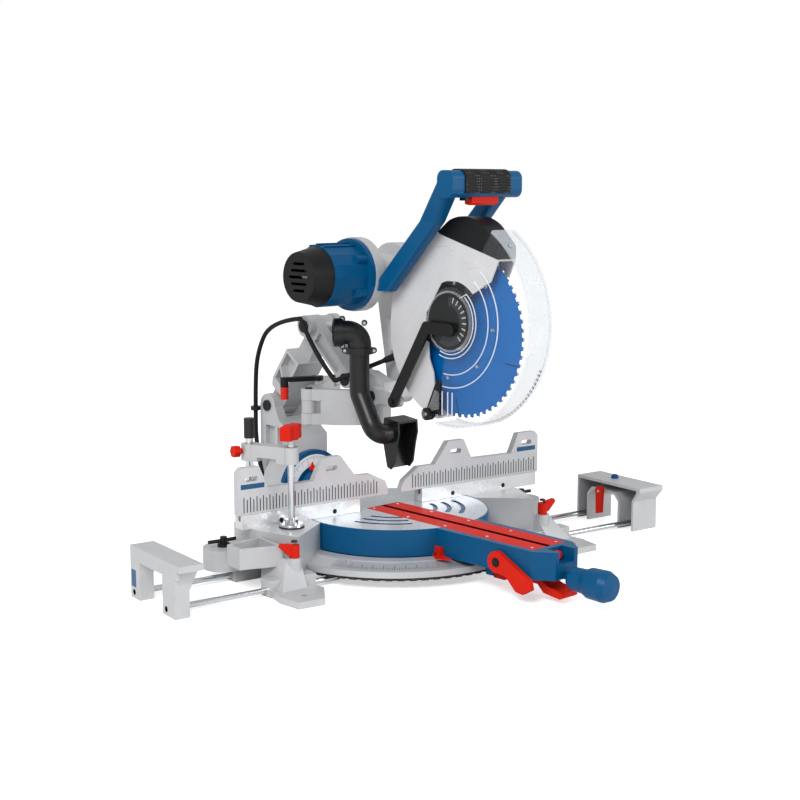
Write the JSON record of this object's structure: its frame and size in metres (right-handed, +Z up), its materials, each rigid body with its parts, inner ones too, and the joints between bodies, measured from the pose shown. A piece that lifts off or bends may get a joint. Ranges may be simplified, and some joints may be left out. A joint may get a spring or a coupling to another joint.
{
  "type": "sliding mitre saw",
  "caption": "Double-bevel sliding mitre saw with a folding glide arm, turntable, sliding fences, work clamp and slide-out supports",
  "frame": {"origin": "mitre axis at bench level, the centre of the four bolt holes under the base", "axes": "+X to the right along the fence, +Y to the back, +Z up"},
  "size_m": [1.088, 1.0296, 0.7215],
  "materials": {
    "blue": "satin blue paint",
    "cast": "cast, tumbled",
    "black": "matt",
    "red": "semi-gloss",
    "steel": "ground",
    "chrome": "plated",
    "clear": "clear polycarbonate",
    "rubber": "matt",
    "blade": "coated steel"
  },
  "bodies": {
    "base": {"base_casting": "cast", "detent_ring": "black", "mitre_scale": "steel", "lower_fence": "cast", "clamp_post": "chrome", "free_lead": "rubber", "coil_lead": "rubber", "plug": "black"},
    "left_support": {"left_support": "cast", "left_rails": "chrome"},
    "right_support": {"right_support": "cast", "right_rails": "chrome"},
    "length_stop": {"length_stop": "red"},
    "left_wing": {"left_wing_lever": "red"},
    "right_wing": {"right_wing_lever": "red"},
    "left_fence": {"left_sliding_fence": "cast"},
    "right_fence": {"right_sliding_fence": "cast"},
    "clamp_arm": {"clamp_arm": "cast"},
    "clamp_lock": {"clamp_lock_knob": "red"},
    "clamp_screw": {"clamp_spindle": "chrome", "clamp_knob": "red"},
    "turntable": {"turntable": "blue", "kerf_inserts": "red", "pointers": "red"},
    "mitre_knob": {"mitre_lock_knob": "blue"},
    "detent_lever": {"detent_lever": "red"},
    "bevel_lever": {"bevel_lock_lever": "red"},
    "front_button": {"front_button": "red"},
    "tower": {"tower": "cast", "bevel_scale_plate": "blue", "tower_pins": "black", "power_lead": "rubber"},
    "rear_link": {"rear_link": "cast", "knuckle_pin": "black"},
    "front_link": {"front_link": "cast"},
    "rear_plate": {"rear_plate": "cast", "elbow_pin": "black"},
    "front_plate": {"front_plate": "cast"},
    "glide_lock": {"glide_lock_lever": "black"},
    "carrier": {"carrier": "cast", "carrier_pins": "black", "dust_hood": "black", "dust_duct": "black", "dust_port": "black"},
    "head": {"head_casting": "cast", "motor_housing": "blue", "motor_end_cap": "black", "upper_guard": "cast", "guard_cover": "black", "handle": "blue", "grip_insert": "black", "cord_gland": "black"},
    "trigger": {"trigger": "red"},
    "lock_off": {"lock_off": "red"},
    "blade": {"blade": "blade", "arbor": "steel"},
    "armature": {"armature": "steel"},
    "lower_guard": {"lower_guard": "clear", "guard_hub_plate": "black"},
    "guard_link": {"guard_link": "black"}
  },
  "joints": [
    {"name": "left_support_slide", "type": "slide", "parent": "base", "child": "left_support", "axis": [1, 0, 0], "range_m": [0, 0.07]},
    {"name": "right_support_slide", "type": "slide", "parent": "base", "child": "right_support", "axis": [-1, 0, 0], "range_m": [0, 0.07]},
    {"name": "length_stop_flip", "type": "hinge", "parent": "right_support", "child": "length_stop", "pos_m": [0.492, -0.04, 0.069], "axis": [1, 0, 0], "range_deg": [0, 180]},
    {"name": "left_wing_turn", "type": "hinge", "parent": "base", "child": "left_wing", "pos_m": [-0.282, -0.101, 0.07], "axis": [0, 0, 1], "range_deg": [0, 90]},
    {"name": "right_wing_turn", "type": "hinge", "parent": "base", "child": "right_wing", "pos_m": [0.282, -0.101, 0.07], "axis": [0, 0, -1], "range_deg": [0, 90]},
    {"name": "left_fence_slide", "type": "slide", "parent": "base", "child": "left_fence", "axis": [-1, 0, 0], "range_m": [0, 0.06]},
    {"name": "right_fence_slide", "type": "slide", "parent": "base", "child": "right_fence", "axis": [1, 0, 0], "range_m": [0, 0.05]},
    {"name": "clamp_swing", "type": "hinge", "parent": "base", "child": "clamp_arm", "pos_m": [-0.279, 0.056, 0.221], "axis": [0, 0, -1], "range_deg": [0, 57]},
    {"name": "clamp_lock_turn", "type": "hinge", "parent": "clamp_arm", "child": "clamp_lock", "pos_m": [-0.305, 0.056, 0.224], "axis": [1, 0, 0], "continuous": true},
    {"name": "clamp_feed", "type": "slide", "parent": "clamp_arm", "child": "clamp_screw", "axis": [0, 0, 1], "range_m": [0, 0.04]},
    {"name": "mitre", "type": "hinge", "parent": "base", "child": "turntable", "pos_m": [0, 0, 0.042], "axis": [0, 0, 1], "range_deg": [-59.2, 44.8], "deforming": ["free_lead"]},
    {"name": "mitre_lock_turn", "type": "hinge", "parent": "turntable", "child": "mitre_knob", "pos_m": [0.06016, -0.47622, 0.045], "axis": [-0.1253, 0.9921, 0], "range_deg": [0, 270]},
    {"name": "detent_squeeze", "type": "hinge", "parent": "turntable", "child": "detent_lever", "pos_m": [0.03572, -0.28275, 0.033], "axis": [-0.9921, -0.1253, 0], "range_deg": [0, 2.5], "stiffness_Nm_per_rad": 8, "springref_deg": -11.46},
    {"name": "bevel_lock_lift", "type": "hinge", "parent": "turntable", "child": "bevel_lever", "pos_m": [-0.01867, -0.33095, 0.061], "axis": [-0.9921, -0.1253, 0], "range_deg": [0, 35]},
    {"name": "button_press", "type": "slide", "parent": "turntable", "child": "front_button", "axis": [-0.1253, 0.9921, 0], "range_m": [0, 0.003], "stiffness_N_per_m": 400, "springref_m": -0.002},
    {"name": "bevel", "type": "hinge", "parent": "turntable", "child": "tower", "pos_m": [-0.03133, 0.24803, 0.091], "axis": [-0.1253, 0.9921, 0], "range_deg": [-26, 30]},
    {"name": "glide", "type": "hinge", "parent": "tower", "child": "rear_link", "pos_m": [-0.04149, 0.32839, 0.254], "axis": [0.9921, 0.1253, 0], "range_deg": [-22, 18], "deforming": ["power_lead"]},
    {"name": "front_link_fold", "type": "hinge", "parent": "rear_link", "child": "front_link", "pos_m": [-0.02557, 0.20239, 0.424], "axis": [0.9921, 0.1253, 0], "range_deg": [-39.7, 48.5]},
    {"name": "carrier_level", "type": "hinge", "parent": "front_link", "child": "carrier", "pos_m": [-0.01241, 0.09822, 0.329], "axis": [0.9921, 0.1253, 0], "range_deg": [-26.5, 21.7]},
    {"name": "rear_plate_fold", "type": "hinge", "parent": "tower", "child": "rear_plate", "pos_m": [0.06236, 0.30422, 0.272], "axis": [0, 0, 1], "range_deg": [-22.1, 18.1]},
    {"name": "front_plate_fold", "type": "hinge", "parent": "rear_plate", "child": "front_plate", "pos_m": [-0.09038, 0.15691, 0.274], "axis": [0, 0, 1], "range_deg": [-39.7, 48.5]},
    {"name": "glide_lock_turn", "type": "hinge", "parent": "rear_plate", "child": "glide_lock", "pos_m": [-0.03841, 0.20703, 0.318], "axis": [0, 0, 1], "range_deg": [0, 15]},
    {"name": "chop", "type": "hinge", "parent": "carrier", "child": "head", "pos_m": [0.04089, 0.0354, 0.304], "axis": [0.9921, 0.1253, 0], "range_deg": [0, 49.34], "stiffness_Nm_per_rad": 30, "springref_deg": -51.57},
    {"name": "guard_turn", "type": "hinge", "parent": "head", "child": "lower_guard", "pos_m": [0.02181, -0.17263, 0.458], "axis": [0.9921, 0.1253, 0], "range_deg": [-112.1, 0.1]},
    {"name": "guard_link_turn", "type": "hinge", "parent": "carrier", "child": "guard_link", "pos_m": [-0.03475, -0.0441, 0.302], "axis": [0.9921, 0.1253, 0], "range_deg": [-0.1, 57.8]},
    {"name": "blade_spin", "type": "hinge", "parent": "head", "child": "blade", "pos_m": [0.02182, -0.17273, 0.4365], "axis": [0.9921, 0.1253, 0], "continuous": true},
    {"name": "armature_spin", "type": "hinge", "parent": "head", "child": "armature", "pos_m": [-0.10473, 0.03112, 0.532], "axis": [0.9921, 0.1253, 0], "continuous": true},
    {"name": "trigger_squeeze", "type": "slide", "parent": "head", "child": "trigger", "axis": [0, 0, 1], "range_m": [0, 0.005], "stiffness_N_per_m": 600, "springref_m": -0.003},
    {"name": "lock_off_slide", "type": "slide", "parent": "head", "child": "lock_off", "axis": [0.9921, 0.1253, 0], "range_m": [0, 0.004]}
  ],
  "couplings": [
    {"joint": "front_link_fold", "follows": "glide", "ratio": -2.2},
    {"joint": "carrier_level", "follows": "glide", "ratio": 1.2},
    {"joint": "rear_plate_fold", "follows": "glide", "ratio": 1},
    {"joint": "front_plate_fold", "follows": "glide", "ratio": -2.2},
    {"joint": "guard_turn", "follows": "chop", "ratio": -2.27},
    {"joint": "guard_link_turn", "follows": "chop", "ratio": 1.1691},
    {"joint": "armature_spin", "follows": "blade_spin", "ratio": -4}
  ]
}
